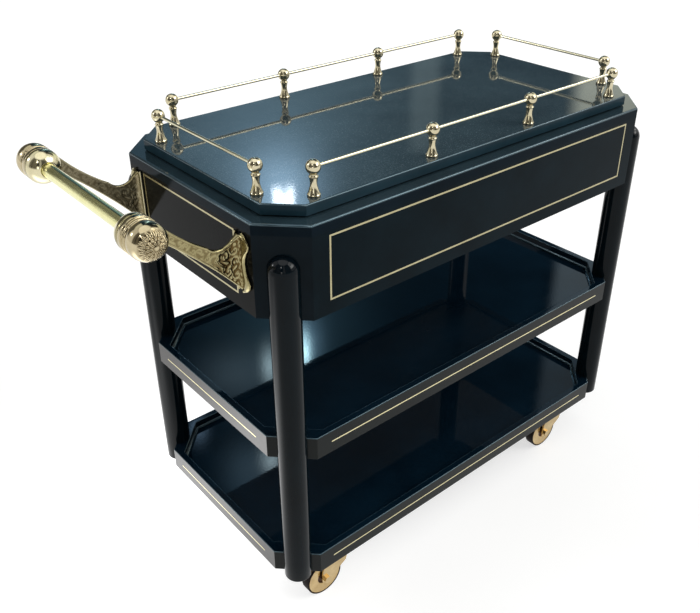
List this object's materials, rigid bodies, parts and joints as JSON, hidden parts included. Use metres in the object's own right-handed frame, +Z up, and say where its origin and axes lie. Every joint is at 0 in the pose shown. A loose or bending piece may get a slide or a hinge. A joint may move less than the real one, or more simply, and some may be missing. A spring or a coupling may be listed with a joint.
{
  "type": "bread cart",
  "caption": "Black lacquered serving cart for bread with an eight-sided case, brass gallery, two lower trays, a brass push handle and swivel casters.",
  "frame": {"origin": "on the floor, at the centre of the whole cart's box in plan, handle included", "axes": "+X along the cart away from the push handle, +Y across it towards the back side, +Z up"},
  "size_m": [1.0804, 0.476, 0.8648],
  "materials": {
    "black_lacquer": "high gloss lacquer",
    "brass": "polished",
    "tyre_rubber": "matt"
  },
  "bodies": {
    "carcass": {"apron_inlays": "brass", "back_apron": "black_lacquer", "bottom_tray_back_rail": "black_lacquer", "bottom_tray_corners": "black_lacquer", "bottom_tray_floor": "black_lacquer", "bottom_tray_front_rail": "black_lacquer", "bottom_tray_left_rail": "black_lacquer", "bottom_tray_right_rail": "black_lacquer", "case_floor": "black_lacquer", "caster_plates": "brass", "corner_block_left_back": "black_lacquer", "corner_block_left_front": "black_lacquer", "corner_block_right_back": "black_lacquer", "corner_block_right_front": "black_lacquer", "front_apron": "black_lacquer", "gallery_posts": "brass", "gallery_rods": "brass", "handle_bar": "brass", "handle_bracket_back": "brass", "handle_bracket_front": "brass", "handle_cup_back": "brass", "handle_cup_front": "brass", "handle_finial_back": "brass", "handle_finial_front": "brass", "ledge_board": "black_lacquer", "left_end_panel": "black_lacquer", "leg_left_back": "black_lacquer", "leg_left_front": "black_lacquer", "leg_right_back": "black_lacquer", "leg_right_front": "black_lacquer", "middle_tray_back_rail": "black_lacquer", "middle_tray_corners": "black_lacquer", "middle_tray_floor": "black_lacquer", "middle_tray_front_rail": "black_lacquer", "middle_tray_left_rail": "black_lacquer", "middle_tray_right_rail": "black_lacquer", "right_end_panel": "black_lacquer", "shadow_step": "black_lacquer", "top_slab": "black_lacquer", "tray_inlays": "brass"},
    "caster_swivel_left_front": {"caster_fork_left_front": "brass"},
    "caster_wheel_left_front": {"caster_tyre_left_front": "tyre_rubber", "caster_wheel_left_front": "brass"},
    "caster_swivel_left_back": {"caster_fork_left_back": "brass"},
    "caster_wheel_left_back": {"caster_tyre_left_back": "tyre_rubber", "caster_wheel_left_back": "brass"},
    "caster_swivel_right_front": {"caster_fork_right_front": "brass"},
    "caster_wheel_right_front": {"caster_tyre_right_front": "tyre_rubber", "caster_wheel_right_front": "brass"},
    "caster_swivel_right_back": {"caster_fork_right_back": "brass"},
    "caster_wheel_right_back": {"caster_tyre_right_back": "tyre_rubber", "caster_wheel_right_back": "brass"}
  },
  "joints": [
    {"name": "caster_left_front_swivel", "type": "hinge", "parent": "carcass", "child": "caster_swivel_left_front", "pos_m": [-0.2308, -0.193, 0.102], "axis": [0, 0, 1], "continuous": true},
    {"name": "caster_left_front_spin", "type": "hinge", "parent": "caster_swivel_left_front", "child": "caster_wheel_left_front", "pos_m": [-0.2658, -0.193, 0.0385], "axis": [0, 1, 0], "continuous": true},
    {"name": "caster_left_back_swivel", "type": "hinge", "parent": "carcass", "child": "caster_swivel_left_back", "pos_m": [-0.2308, 0.193, 0.102], "axis": [0, 0, 1], "continuous": true},
    {"name": "caster_left_back_spin", "type": "hinge", "parent": "caster_swivel_left_back", "child": "caster_wheel_left_back", "pos_m": [-0.2658, 0.193, 0.0385], "axis": [0, 1, 0], "continuous": true},
    {"name": "caster_right_front_swivel", "type": "hinge", "parent": "carcass", "child": "caster_swivel_right_front", "pos_m": [0.4112, -0.193, 0.102], "axis": [0, 0, 1], "continuous": true},
    {"name": "caster_right_front_spin", "type": "hinge", "parent": "caster_swivel_right_front", "child": "caster_wheel_right_front", "pos_m": [0.3762, -0.193, 0.0385], "axis": [0, 1, 0], "continuous": true},
    {"name": "caster_right_back_swivel", "type": "hinge", "parent": "carcass", "child": "caster_swivel_right_back", "pos_m": [0.4112, 0.193, 0.102], "axis": [0, 0, 1], "continuous": true},
    {"name": "caster_right_back_spin", "type": "hinge", "parent": "caster_swivel_right_back", "child": "caster_wheel_right_back", "pos_m": [0.3762, 0.193, 0.0385], "axis": [0, 1, 0], "continuous": true}
  ]
}
